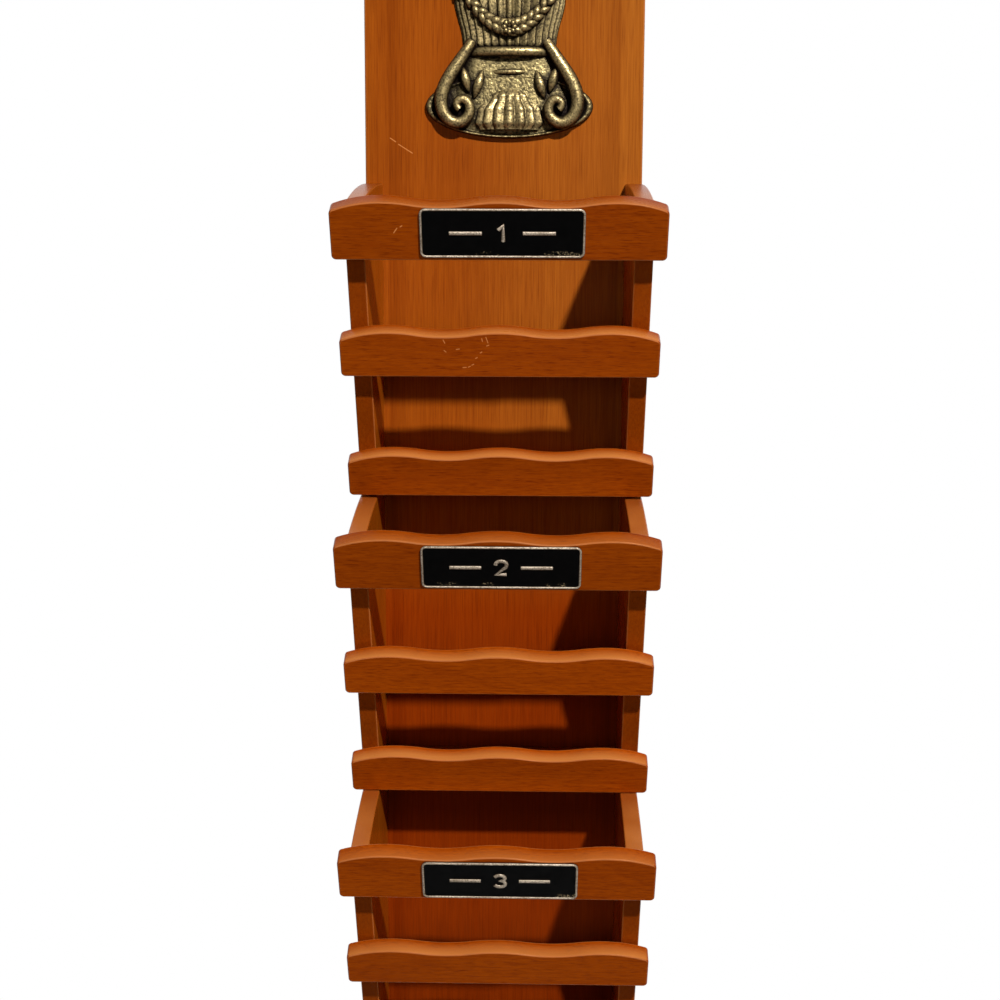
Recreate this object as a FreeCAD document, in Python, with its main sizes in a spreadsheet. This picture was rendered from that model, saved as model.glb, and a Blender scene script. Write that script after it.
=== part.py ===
"""Wall organizer: a tall back board with three tiers of open-front paper pockets.

Frame: the wall is the plane Y = 0 and the front faces -Y, +Z is up, and the origin is the centre of
the hanger's round keyhole opening, on the wall plane. Lengths are millimetres, angles degrees.
"""
import FreeCAD, Part
import Sketcher
import os
import re

os.makedirs("parts", exist_ok=True)
doc = FreeCAD.newDocument("WallOrganizer")

# Driving dimensions, each a cell with an alias
SIZES = {
    # back board
    "board_width": 153.5,
    "board_thick": 12,
    "board_wave": 7,
    "board_shoulder": 12,
    "board_foot": 5,
    "hanger_drop": 40,
    "first_tier_drop": 215,
    # tiers of pockets
    "tier_pitch": 166,
    "lean_angle": 25,
    "pocket_depth": 108,
    "side_thick": 9.5,
    "side_rise": 40,
    "side_corner_rise": 25.5,
    "side_bulge": 2.8,
    "floor_thick": 9.5,
    # slats
    "slat_thick": 9.5,
    "slat_wave": 2.5,
    "slat_shoulder": 4.8,
    "slat_corner": 2.4,
    "label_slat_overhang": 6,
    "label_slat_height": 30.7,
    "label_slat_drop": 1.1,
    "plain_slat_overhang": 5.25,
    "plain_slat_height": 25.7,
    "low_slat_tuck": 2.1,
    "mid_slat_share": 0.49,
    "first_middle_lift": 1.8,
    "second_middle_lift": -1.9,
    "second_lower_lift": -1.2,
    "wave_share": 0.0875,
    # label plates
    "plate_width": 81,
    "plate_height": 26,
    "plate_thick": 1.6,
    "plate_corner": 2.6,
    "plate_rise": 0.8,
    "plate_shift": 1.8,
    "rim_width": 1.1,
    "relief_height": 0.5,
    "numeral_height": 11,
    "numeral_width": 7,
    "stroke_width": 1.8,
    "rule_length": 17,
    "rule_gap": 6,
    # cast ornament
    "ornament_shift": 3,
    "ornament_rise": 64.5,
    "mound_width": 92,
    "mound_height": 34,
    "mound_relief": 5,
    "boss_relief": 9,
    "stem_width": 14,
    "stem_relief": 8,
    "urn_foot_rise": 43,
    "urn_height": 79,
    "urn_width": 61,
    "urn_relief": 9,
    "swag_relief": 12,
    "swag_width": 7,
    "leg_width": 6,
    "leg_relief": 7,
    # keyhole hanger
    "hanger_width": 16,
    "hanger_height": 40,
    "hanger_thick": 1.5,
    "hanger_corner": 3,
    "hanger_clearance": 0.2,
    "keyhole_radius": 4.5,
    "keyhole_slot_radius": 2.25,
    "keyhole_slot_rise": 9,
    "head_room": 5,
    "head_room_margin": 2.5,
    "hanger_screw_margin": 4.5,
    # fasteners
    "screw_length": 30,
    "screw_shank_radius": 1.75,
    "screw_head_radius": 3.5,
    "screw_tip": 4,
    "screw_point_share": 0.25,
    "screw_sink": 0.4,
    "screw_end_margin": 22,
    "floor_screw_share": 0.25,
    "ornament_screw_bite": 5,
    "ornament_screw_radius": 2,
    "ornament_screw_head_radius": 3.8,
    "hanger_screw_length": 9,
    "hanger_screw_radius": 1.2,
    "hanger_screw_head_radius": 2.4,
    "dowel_radius": 2.5,
    "dowel_length": 14,
    "dowel_in_slat": 5.5,
    "fastener_clearance": 0.15,
    "cut_overrun": 1,
}
TIER_COUNT = 3
SIDE_SCREW_COUNT = 4
TIERS = range(TIER_COUNT)

sheet = doc.addObject("Spreadsheet::Sheet", "Sizes")
for row, (alias, number) in enumerate(SIZES.items(), start=1):
    sheet.set(f"A{row}", alias)
    sheet.set(f"B{row}", str(number))
    sheet.setAlias(f"B{row}", alias)
doc.recompute()


# Formulas are written with the bare names of the cells
def formula(text):
    return re.sub(r"[a-z][a-z_]*", lambda word: f"Sizes.{word[0]}" if word[0] in SIZES else word[0], text)


def value(text):
    return float(sheet.evalExpression(formula(text)))


def bind(item, **formulas):
    for name, text in formulas.items():
        item.setExpression(name, formula(text))
    return item


def place(item, x="0", y="0", z="0", turn="0"):
    """Put an item at (x, y, z), turned about the X axis."""
    spot = FreeCAD.Vector(value(x), value(y), value(z))
    item.Placement = FreeCAD.Placement(spot, FreeCAD.Rotation(FreeCAD.Vector(1, 0, 0), value(turn)))
    bind(item, **{"Placement.Base.x": x, "Placement.Base.y": y, "Placement.Base.z": z})
    if turn != "0":
        bind(item, **{"Placement.Rotation.Angle": turn})
    return item


def new_body(name):
    return doc.addObject("PartDesign::Body", name)


def new_sketch(body, role):
    plane = next(item for item in body.Origin.OriginFeatures if item.Role == role)
    sketch = body.newObject("Sketcher::SketchObject", f"{body.Name}_outline")
    sketch.AttachmentSupport = (plane, [""])
    sketch.MapMode = "FlatFace"
    return sketch


def fix_point(sketch, geometry, end, point):
    """Hold one end of a sketch element at a point given as two formulas."""
    for kind, text in zip(("DistanceX", "DistanceY"), point):
        index = sketch.addConstraint(Sketcher.Constraint(kind, -1, 1, geometry, end, value(text)))
        sketch.setExpression(f"Constraints[{index}]", formula(text))


def outline(sketch, start, *steps):
    """Closed outline: each step is an end point, or a through point and an end point for an arc."""
    def spot(point):
        return FreeCAD.Vector(value(point[0]), value(point[1]), 0)

    first = last = None
    here = start
    closing = () if steps[-1][-1] == start else ((start,),)
    for step in steps + closing:
        there = step[-1]
        near, far = 1, 2
        if len(step) == 1:
            geometry = sketch.addGeometry(Part.LineSegment(spot(here), spot(there)))
        else:
            corners = [spot(here), spot(step[0]), spot(there)]
            if (corners[1] - corners[0]).cross(corners[2] - corners[1]).z < 0:
                corners.reverse()
                near, far = 2, 1
            geometry = sketch.addGeometry(Part.Arc(*corners))
            through = sketch.addGeometry(Part.Point(spot(step[0])), True)
            fix_point(sketch, through, 1, step[0])
            sketch.addConstraint(Sketcher.Constraint("PointOnObject", through, 1, geometry))
        if last is None:
            first = (geometry, near)
        else:
            sketch.addConstraint(Sketcher.Constraint("Coincident", *last, geometry, near))
        fix_point(sketch, geometry, near, here)
        last = (geometry, far)
        here = there
    sketch.addConstraint(Sketcher.Constraint("Coincident", *last, *first))
    return sketch


def pad(body, sketch, length, both_ways=False):
    feature = body.newObject("PartDesign::Pad", f"{body.Name}_pad")
    feature.Profile = sketch
    if both_ways:
        feature.SideType = "Symmetric"
    bind(feature, Length=length)
    return feature


def rounded_rectangle(sketch, width, low, high, radius):
    """Rectangle centred on the sketch's vertical axis, with round corners."""
    nick = f"({radius}) * (1 - sqrt(0.5))"
    side = f"({width}) / 2"
    return outline(
        sketch,
        (f"-{side} + {radius}", low),
        ((f"{side} - ({radius})", low),),
        ((f"{side} - {nick}", f"{low} + {nick}"), (side, f"{low} + {radius}")),
        ((side, f"{high} - ({radius})"),),
        ((f"{side} - {nick}", f"{high} - {nick}"), (f"{side} - ({radius})", high)),
        ((f"-{side} + {radius}", high),),
        ((f"-{side} + {nick}", f"{high} - {nick}"), (f"-{side}", f"{high} - ({radius})")),
        ((f"-{side}", f"{low} + {radius}"),),
        ((f"-{side} + {nick}", f"{low} + {nick}"), (f"-{side} + {radius}", low)),
    )


def wavy_board(sketch, length, top, wave, shoulder, low):
    """Straight bottom and ends, and a top edge of three humps and two dips, with a shoulder at each end."""
    quarter = f"(({length}) * wave_share)"
    half = f"({length}) / 2"
    half_wave = f"(({wave}) / 2)"
    radius = f"(({quarter} ^ 2 + {half_wave} ^ 2) / (2 * {half_wave}))"
    near_top = f"{top} - {radius} + sqrt({radius} ^ 2 - ({quarter} / 2) ^ 2)"
    inflection = f"{top} - {half_wave}"
    dip = f"{top} - {wave}"
    end_run = f"({half} - 4 * {quarter})"
    end_radius = f"(({end_run} ^ 2 + ({shoulder}) ^ 2) / (2 * ({shoulder})))"
    end_middle = f"{top} - {end_radius} + sqrt({end_radius} ^ 2 - ({end_run} / 2) ^ 2)"
    end_level = f"{top} - {shoulder}"
    return outline(
        sketch,
        (f"-{half}", low),
        ((half, low),),
        ((half, end_level),),
        ((f"4 * {quarter} + {end_run} / 2", end_middle), (f"4 * {quarter}", top)),
        ((f"7 * {quarter} / 2", near_top), (f"3 * {quarter}", inflection)),
        ((f"2 * {quarter}", dip), (quarter, inflection)),
        (("0", top), (f"-{quarter}", inflection)),
        ((f"-2 * {quarter}", dip), (f"-3 * {quarter}", inflection)),
        ((f"-7 * {quarter} / 2", near_top), (f"-4 * {quarter}", top)),
        ((f"-4 * {quarter} - {end_run} / 2", end_middle), (f"-{half}", end_level)),
    )


def compound(name, items):
    group = doc.addObject("Part::Compound", name)
    group.Links = items
    return group


def cut(label, base, cutters):
    result = doc.addObject("Part::Cut", label)
    result.Base = base
    result.Tool = fuse(f"{label}_holes", cutters)
    return result


def cylinder(name, radius, height):
    return bind(doc.addObject("Part::Cylinder", name), Radius=radius, Height=height)


def cone(name, radius_low, radius_high, height):
    return bind(doc.addObject("Part::Cone", name), Radius1=radius_low, Radius2=radius_high, Height=height)


def fuse(name, items):
    result = doc.addObject("Part::MultiFuse", name)
    result.Shapes = items
    return result


# Places that several pieces share
BOARD_TOP = "hanger_drop"
LOW_DROP = "(tier_pitch - side_rise + low_slat_tuck)"
MID_DROP = f"(mid_slat_share * {LOW_DROP})"
EDGE_SETBACK = "slat_thick / cos(lean_angle)"
SIDE_CENTRE = "(board_width / 2 - side_thick / 2)"


def tier_base(tier):
    """Height of a tier's label slat at its lower front edge."""
    return f"({BOARD_TOP} - first_tier_drop - {tier} * tier_pitch)"


def slat_front(drop):
    """Depth of the slats' front plane, at a drop below the tier's base, from the board's front."""
    return f"(pocket_depth - ({drop}) * tan(lean_angle))"


def edge_front(drop):
    """Depth of the side boards' front edges, which the slats lie on."""
    return f"({slat_front(drop)} - {EDGE_SETBACK})"


# The slats were fitted by hand, some a little off the even spacing
SLAT_LIFTS = {
    "label": ("-label_slat_drop", "-label_slat_drop", "-label_slat_drop"),
    "middle": ("first_middle_lift", "second_middle_lift", "0"),
    "lower": ("0", "second_lower_lift", "0"),
}
BOARD_LOW = f"({tier_base(TIERS[-1])} - {LOW_DROP} - board_foot)"
nodes = {}


# Screws run from the wall plane towards the front, with their heads sunk below the board's back
def screw(name, x, z, length, radius, head_radius, start="-screw_sink"):
    head_height = f"({head_radius}) - ({radius})"
    head = place(cone(f"{name}_head", head_radius, radius, head_height), x, start, z, "90")
    shank = place(cylinder(f"{name}_shank", radius, f"{length} - screw_tip"), x, start, z, "90")
    tip_start = f"({start}) - ({length}) + screw_tip"
    point_radius = f"{radius} * screw_point_share"
    tip = place(cone(f"{name}_tip", radius, point_radius, "screw_tip"), x, tip_start, z, "90")
    return fuse(name, [head, shank, tip])


def screw_hole(name, x, z, length, radius, head_radius, start="-screw_sink"):
    wide = f"{head_radius} + fastener_clearance"
    narrow = f"{radius} + fastener_clearance"
    mouth = place(cylinder(f"{name}_mouth", wide, f"cut_overrun - ({start})"), x, "cut_overrun", z, "90")
    seat = place(cone(f"{name}_seat", wide, narrow, f"({head_radius}) - ({radius})"), x, start, z, "90")
    run = place(cylinder(f"{name}_run", narrow, f"{length} + fastener_clearance"), x, start, z, "90")
    return fuse(f"{name}_hole", [mouth, seat, run])


def screw_row(label, spots, length, radius, head_radius, start="-screw_sink"):
    """A node of like screws, and the holes that they need."""
    screws = []
    holes = []
    for number, (x, z) in enumerate(spots, start=1):
        screws.append(screw(f"{label}_{number}", x, z, length, radius, head_radius, start))
        holes.append(screw_hole(f"{label}_{number}", x, z, length, radius, head_radius, start))
    nodes[label] = compound(label, screws)
    return holes


def wood_screws(label, spots):
    return screw_row(label, spots, "screw_length", "screw_shank_radius", "screw_head_radius")


# Side boards: one saw tooth per tier, its top edge arched and its front edge leaning outward
side_screw_high = f"({tier_base(0)} + side_rise - screw_end_margin)"
side_screw_low = f"({BOARD_LOW} + screw_end_margin)"
side_screw_heights = [
    f"{side_screw_high} - {step} * ({side_screw_high} - {side_screw_low}) / {SIDE_SCREW_COUNT - 1}"
    for step in range(SIDE_SCREW_COUNT)
]


def side_board_blank(hand, x):
    body = place(new_body(f"{hand}_side_blank"), x)
    back = "-board_thick"
    for tier in TIERS:
        base = tier_base(tier)
        corner_depth = edge_front("-side_corner_rise")
        low_drop = f"{LOW_DROP} + board_foot"
        arch = f"{base} + (side_rise + side_corner_rise) / 2 + side_bulge"
        tooth = outline(
            new_sketch(body, "YZ_Plane"),
            (back, f"{base} - ({low_drop})"),
            ((f"{back} - {edge_front(low_drop)}", f"{base} - ({low_drop})"),),
            ((f"{back} - {corner_depth}", f"{base} + side_corner_rise"),),
            ((f"{back} - {corner_depth} / 2", arch), (back, f"{base} + side_rise")),
        )
        pad(body, tooth, "side_thick")
    return body


# Pocket floors: between the side boards, front edge bevelled to the lean
def floor_low(tier):
    return f"({tier_base(tier)} - {LOW_DROP})"


def pocket_floor(tier):
    body = new_body(f"floor_blank_{tier + 1}")
    back = "-board_thick"
    low = floor_low(tier)
    section = outline(
        new_sketch(body, "YZ_Plane"),
        (back, low),
        ((f"{back} - {edge_front(LOW_DROP)}", low),),
        ((f"{back} - {edge_front(LOW_DROP + ' - floor_thick')}", f"{low} + floor_thick"),),
        ((back, f"{low} + floor_thick"),),
    )
    pad(body, section, "board_width - 2 * side_thick", both_ways=True)
    return body


# Slats: lying on the side boards' leaning edges, wavy top edge, blind dowels at both ends
def slat_spot(tier, drop):
    """Lower back edge of a slat."""
    y = f"-board_thick - {slat_front(drop)} + slat_thick * cos(lean_angle)"
    z = f"{tier_base(tier)} - ({drop}) + slat_thick * sin(lean_angle)"
    return y, z


def slat_blank(name, tier, drop, length, height):
    y, z = slat_spot(tier, drop)
    body = place(new_body(name), "0", y, z, "90 + lean_angle")
    face = wavy_board(new_sketch(body, "XY_Plane"), length, height, "slat_wave", "slat_shoulder", "0")
    board = pad(body, face, "slat_thick")
    doc.recompute()
    corners = [
        f"Edge{number}"
        for number, edge in enumerate(board.Shape.Edges, start=1)
        if abs(abs(edge.tangentAt(edge.FirstParameter).z) - 1) < Part.Precision.confusion()
        and abs(abs(edge.CenterOfMass.x) - value(length) / 2) < Part.Precision.confusion()
    ]
    rounding = body.newObject("PartDesign::Fillet", f"{name}_corners")
    rounding.Base = (board, corners)
    bind(rounding, Radius="slat_corner")
    return body


def dowels(name, tier, drop, height):
    """The two dowels of one slat, and their holes."""
    y, z = slat_spot(tier, drop)
    pins = []
    holes = []
    for hand, sign in (("left", "-"), ("right", "")):
        for kind, extra, made in (("pin", "0", pins), ("hole", "fastener_clearance", holes)):
            reach = f"(dowel_in_slat + {extra})"
            rise = f"(({height}) / 2)"
            length = f"dowel_length + 2 * {extra}"
            rod = cylinder(f"{name}_{hand}_{kind}", f"dowel_radius + {extra}", length)
            made.append(place(
                rod,
                f"{sign}{SIDE_CENTRE}",
                f"{y} - {rise} * sin(lean_angle) - {reach} * cos(lean_angle)",
                f"{z} + {rise} * cos(lean_angle) - {reach} * sin(lean_angle)",
                "lean_angle - 90",
            ))
    return pins, holes


# Label plates: a raised rim and a raised numeral between two rules
def numeral_outline(sketch, tier, low):
    """The numeral of a tier, counted from the top, in straight strokes."""
    left = "-numeral_width / 2"
    right = "numeral_width / 2"
    high = f"{low} + numeral_height"
    waist_low = f"{low} + (numeral_height - stroke_width) / 2"
    waist_high = f"{low} + (numeral_height + stroke_width) / 2"
    inner_left = f"{left} + stroke_width"
    inner_right = f"{right} - stroke_width"
    inner_low = f"{low} + stroke_width"
    inner_high = f"{high} - stroke_width"
    bar_left = "-stroke_width / 2"
    bar_right = "stroke_width / 2"
    one = [
        (bar_left, low), (bar_right, low), (bar_right, high), (bar_left, high),
        (f"{bar_left} - stroke_width", inner_high),
        (f"{bar_left} - stroke_width", f"{inner_high} - stroke_width"),
        (bar_left, inner_high),
    ]
    two = [
        (left, low), (right, low), (right, inner_low), (inner_left, inner_low),
        (inner_left, waist_low), (right, waist_low), (right, high), (left, high),
        (left, inner_high), (inner_right, inner_high), (inner_right, waist_high), (left, waist_high),
    ]
    three = [
        (left, low), (right, low), (right, high), (left, high), (left, inner_high),
        (inner_right, inner_high), (inner_right, waist_high), (inner_left, waist_high),
        (inner_left, waist_low), (inner_right, waist_low), (inner_right, inner_low), (left, inner_low),
    ]
    points = (one, two, three)[tier]
    outline(sketch, points[0], *[(point,) for point in points[1:]])


def label_plate(tier):
    label = f"label_plate_{tier + 1}"
    y = f"-board_thick - {slat_front('0')} - plate_rise * sin(lean_angle)"
    z = f"{tier_base(tier)} + plate_rise * cos(lean_angle)"
    body = place(new_body(label), "plate_shift", y, z, "90 + lean_angle")
    outer = ("plate_width", "0", "plate_height", "plate_corner")
    inner_corner = "(plate_corner - rim_width)"
    inner = ("plate_width - 2 * rim_width", "rim_width", "(plate_height - rim_width)", inner_corner)
    field = rounded_rectangle(new_sketch(body, "XY_Plane"), *outer)
    pad(body, field, "plate_thick - relief_height")
    rim = rounded_rectangle(new_sketch(body, "XY_Plane"), *outer)
    rounded_rectangle(rim, *inner)
    pad(body, rim, "plate_thick")
    raised = new_sketch(body, "XY_Plane")
    numeral_outline(raised, tier, "(plate_height - numeral_height) / 2")
    rule_low = "(plate_height - stroke_width) / 2"
    rule_high = "(plate_height + stroke_width) / 2"
    rule_near = "(numeral_width / 2 + rule_gap)"
    for sign in ("-", ""):
        near = f"{sign}{rule_near}"
        far = f"{sign}({rule_near} + rule_length)"
        outline(raised, (near, rule_low), ((far, rule_low),), ((far, rule_high),), ((near, rule_high),))
    pad(body, raised, "plate_thick")
    nodes[label] = body


# Cast ornament: an urn with a swag, on a stem, a web and two scroll legs over an oval mound
def oval(sketch, width, low, high):
    """Oval of four arcs about the sketch's vertical axis."""
    shoulder_share = "0.46"
    cap_share = "0.3"
    tall = f"(({high}) - ({low}))"
    cap_low = f"{low} + {cap_share} * {tall}"
    cap_high = f"{high} - {cap_share} * {tall}"
    side = f"{shoulder_share} * ({width})"
    middle = f"{low} + {tall} / 2"
    return outline(
        sketch,
        (f"-{side}", cap_low),
        (("0", low), (side, cap_low)),
        ((f"({width}) / 2", middle), (side, cap_high)),
        (("0", high), (f"-{side}", cap_high)),
        ((f"-({width}) / 2", middle), (f"-{side}", cap_low)),
    )


def urn_outline(sketch):
    # half widths as shares of the urn's width, and heights as shares of its height
    bowl_share, belly_share, neck_share, lip_share = "0.40", "0.50", "0.27", "0.36"
    lid_share, finial_share = "0.25", "0.07"
    bowl_rise_share, belly_rise_share, neck_rise_share, lip_rise_share = "0.10", "0.40", "0.66", "0.75"
    rim_rise_share, lid_rise_share, finial_rise_share = "0.79", "0.865", "0.895"

    def spot(across_share, rise_share, sign=""):
        return f"{sign}{across_share} * urn_width", f"urn_foot_rise + {rise_share} * urn_height"

    return outline(
        sketch,
        spot(bowl_share, bowl_rise_share, "-"),
        (("0", "urn_foot_rise"), spot(bowl_share, bowl_rise_share)),
        (spot(belly_share, belly_rise_share), spot(neck_share, neck_rise_share)),
        (spot(lip_share, lip_rise_share),),
        (spot(lip_share, rim_rise_share),),
        (spot(lid_share, lid_rise_share), spot(finial_share, finial_rise_share)),
        (("0", "urn_foot_rise + urn_height"), spot(finial_share, finial_rise_share, "-")),
        (spot(lid_share, lid_rise_share, "-"), spot(lip_share, rim_rise_share, "-")),
        (spot(lip_share, lip_rise_share, "-"),),
        (spot(neck_share, neck_rise_share, "-"),),
        (spot(belly_share, belly_rise_share, "-"), spot(bowl_share, bowl_rise_share, "-")),
    )


def arc_band(sketch, start, through, end, width, shift):
    """Band between two like arcs, the second moved by the width along the shift's direction."""
    def moved(point):
        return tuple(f"{text} + ({width}) * {part}" for text, part in zip(point, shift))

    return outline(sketch, start, (through, end), (moved(end),), (moved(through), moved(start)))


def ornament_blank():
    boss_width_share, boss_low_share, boss_high_share = "0.46", "0.12", "0.90"
    leg_top_share, leg_bow_share, leg_foot_share = "0.40", "0.40", "0.27"
    leg_bow_rise_share, leg_foot_rise_share = "0.80", "0.25"
    swag_end_share, swag_end_rise_share, swag_low_rise_share = "0.44", "0.46", "0.16"
    z = f"{tier_base(0)} + ornament_rise"
    body = place(new_body("ornament_blank"), "ornament_shift", "-board_thick", z)
    pad(body, oval(new_sketch(body, "XZ_Plane"), "mound_width", "0", "mound_height"), "mound_relief")
    boss = oval(
        new_sketch(body, "XZ_Plane"),
        f"{boss_width_share} * mound_width",
        f"{boss_low_share} * mound_height",
        f"{boss_high_share} * mound_height",
    )
    pad(body, boss, "boss_relief")
    web_low_share, web_high_share = "0.40", "0.36"
    rise_low, rise_high = "mound_height / 2", "urn_foot_rise + leg_width"
    for half_low, half_high, relief in (
        (f"{web_low_share} * mound_width", f"{web_high_share} * urn_width", "mound_relief"),
        ("stem_width / 2", "stem_width / 2", "stem_relief"),
    ):
        upright = outline(
            new_sketch(body, "XZ_Plane"),
            (f"-{half_low}", rise_low),
            ((half_low, rise_low),),
            ((half_high, rise_high),),
            ((f"-{half_high}", rise_high),),
        )
        pad(body, upright, relief)
    pad(body, urn_outline(new_sketch(body, "XZ_Plane")), "urn_relief")
    for sign, shift in (("-", ("1", "0")), ("", ("-1", "0"))):
        leg = arc_band(
            new_sketch(body, "XZ_Plane"),
            (f"{sign}{leg_top_share} * urn_width", "urn_foot_rise + leg_width"),
            (f"{sign}{leg_bow_share} * mound_width", f"{leg_bow_rise_share} * mound_height"),
            (f"{sign}{leg_foot_share} * mound_width", f"{leg_foot_rise_share} * mound_height"),
            "leg_width",
            shift,
        )
        pad(body, leg, "leg_relief")
    swag_end_z = f"urn_foot_rise + {swag_end_rise_share} * urn_height"
    swag = arc_band(
        new_sketch(body, "XZ_Plane"),
        (f"-{swag_end_share} * urn_width", swag_end_z),
        ("0", f"urn_foot_rise + {swag_low_rise_share} * urn_height"),
        (f"{swag_end_share} * urn_width", swag_end_z),
        "swag_width",
        ("0", "1"),
    )
    pad(body, swag, "swag_relief")
    return body


# Keyhole hanger: a flat steel plate let in flush with the board's back
HANGER_MIDDLE = "(keyhole_slot_rise / 2)"
HANGER_LOW = f"({HANGER_MIDDLE} - hanger_height / 2)"
HANGER_HIGH = f"({HANGER_MIDDLE} + hanger_height / 2)"


def keyhole_plate():
    body = new_body("hanger_blank")
    sketch = rounded_rectangle(
        new_sketch(body, "XZ_Plane"), "hanger_width", HANGER_LOW, HANGER_HIGH, "hanger_corner"
    )
    mouth = "sqrt(keyhole_radius ^ 2 - keyhole_slot_radius ^ 2)"
    outline(
        sketch,
        ("keyhole_slot_radius", mouth),
        (("keyhole_slot_radius", "keyhole_slot_rise"),),
        (("0", "keyhole_slot_rise + keyhole_slot_radius"), ("-keyhole_slot_radius", "keyhole_slot_rise")),
        (("-keyhole_slot_radius", mouth),),
        (("0", "-keyhole_radius"), ("keyhole_slot_radius", mouth)),
    )
    pad(body, sketch, "hanger_thick")
    return body


def hanger_recess():
    """What the back board gives up for the plate and, deeper, for the wall screw's head."""
    seat = place(new_body("hanger_seat"), "0", "cut_overrun", "0")
    seat_outline = rounded_rectangle(
        new_sketch(seat, "XZ_Plane"),
        "hanger_width + 2 * hanger_clearance",
        f"({HANGER_LOW} - hanger_clearance)",
        f"({HANGER_HIGH} + hanger_clearance)",
        "(hanger_corner + hanger_clearance)",
    )
    pad(seat, seat_outline, "hanger_thick + cut_overrun")
    room = place(new_body("hanger_room"), "0", "cut_overrun", "0")
    room_outline = rounded_rectangle(
        new_sketch(room, "XZ_Plane"),
        "2 * (keyhole_radius + head_room_margin)",
        "(-keyhole_radius - head_room_margin)",
        "(keyhole_slot_rise + keyhole_slot_radius + head_room_margin)",
        "(keyhole_radius + head_room_margin - hanger_clearance)",
    )
    pad(room, room_outline, "hanger_thick + head_room + cut_overrun")
    return [seat, room]


# Assembly: fasteners first, then the pieces with the holes that those fasteners need
left_holes = wood_screws("left_side_screws", [(f"-{SIDE_CENTRE}", z) for z in side_screw_heights])
right_holes = wood_screws("right_side_screws", [(SIDE_CENTRE, z) for z in side_screw_heights])
floor_spots = [
    (f"{sign}floor_screw_share * board_width", f"{floor_low(tier)} + floor_thick / 2")
    for sign in ("-", "")
    for tier in TIERS
]
all_floor_holes = wood_screws("floor_screws", floor_spots)
floor_holes = list(zip(all_floor_holes[:TIER_COUNT], all_floor_holes[TIER_COUNT:]))
ornament_base = f"({tier_base(0)} + ornament_rise)"
ornament_holes = screw_row(
    "ornament_screws",
    [("ornament_shift", f"{ornament_base} + mound_height / 2"),
     ("ornament_shift", f"{ornament_base} + urn_foot_rise + urn_height / 2")],
    "(board_thick - screw_sink + ornament_screw_bite)",
    "ornament_screw_radius",
    "ornament_screw_head_radius",
)
hanger_holes = screw_row(
    "hanger_screws",
    [("0", f"{HANGER_LOW} + hanger_screw_margin"), ("0", f"{HANGER_HIGH} - hanger_screw_margin")],
    "hanger_screw_length",
    "hanger_screw_radius",
    "hanger_screw_head_radius",
    "0",
)

board_blank = new_body("board_blank")
board_sketch = new_sketch(board_blank, "XZ_Plane")
board_face = wavy_board(board_sketch, "board_width", BOARD_TOP, "board_wave", "board_shoulder", BOARD_LOW)
pad(board_blank, board_face, "board_thick")
board_holes = left_holes + right_holes + all_floor_holes + ornament_holes + hanger_holes + hanger_recess()
nodes["back_board"] = cut("back_board", board_blank, board_holes)
nodes["hanger_plate"] = cut("hanger_plate", keyhole_plate(), hanger_holes)
nodes["ornament"] = cut("ornament", ornament_blank(), ornament_holes)

side_dowel_holes = {"left": [], "right": []}
for tier in TIERS:
    tier_pins = []
    for kind, drop, overhang, height in (
        ("label", "0", "label_slat_overhang", "label_slat_height"),
        ("middle", MID_DROP, "plain_slat_overhang", "plain_slat_height"),
        ("lower", LOW_DROP, "plain_slat_overhang", "plain_slat_height"),
    ):
        slat = f"{kind}_slat_{tier + 1}"
        length = f"board_width + 2 * {overhang}"
        drop = f"{drop} - ({SLAT_LIFTS[kind][tier]})"
        pins, holes = dowels(f"{slat}_dowel", tier, drop, height)
        nodes[slat] = cut(slat, slat_blank(f"{slat}_blank", tier, drop, length, height), holes)
        tier_pins += pins
        side_dowel_holes["left"].append(holes[0])
        side_dowel_holes["right"].append(holes[1])
    nodes[f"slat_dowels_{tier + 1}"] = compound(f"slat_dowels_{tier + 1}", tier_pins)
    floor = f"pocket_floor_{tier + 1}"
    nodes[floor] = cut(floor, pocket_floor(tier), list(floor_holes[tier]))
    label_plate(tier)

left_blank = side_board_blank("left", "-board_width / 2")
right_blank = side_board_blank("right", "board_width / 2 - side_thick")
nodes["left_side_board"] = cut("left_side_board", left_blank, left_holes + side_dowel_holes["left"])
nodes["right_side_board"] = cut("right_side_board", right_blank, right_holes + side_dowel_holes["right"])

doc.recompute()

# Checks before anything is written
for item in doc.Objects:
    if "Invalid" in item.State or "Error" in item.State:
        raise RuntimeError(f"{item.Label} failed: {item.State}")
for label, item in nodes.items():
    item.Label = label
    if item.Shape.isNull() or not item.Shape.isValid() or not item.Shape.Solids:
        raise RuntimeError(f"{label} has no valid solid")
for label, item in nodes.items():
    if item.TypeId == "Part::Cut" and item.Shape.Volume >= item.Base.Shape.Volume:
        raise RuntimeError(f"{label} has no holes")

for label, item in nodes.items():
    item.Shape.exportStep(f"parts/{label}.step")
    box = item.Shape.BoundBox
    print(f"{label}: {len(item.Shape.Solids)} solids, volume {item.Shape.Volume:.0f}, "
          f"z {box.ZMin:.1f} to {box.ZMax:.1f}, y {box.YMin:.1f} to {box.YMax:.1f}")
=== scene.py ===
import math

import bmesh
import bpy
from mathutils import Matrix, Vector


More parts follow.
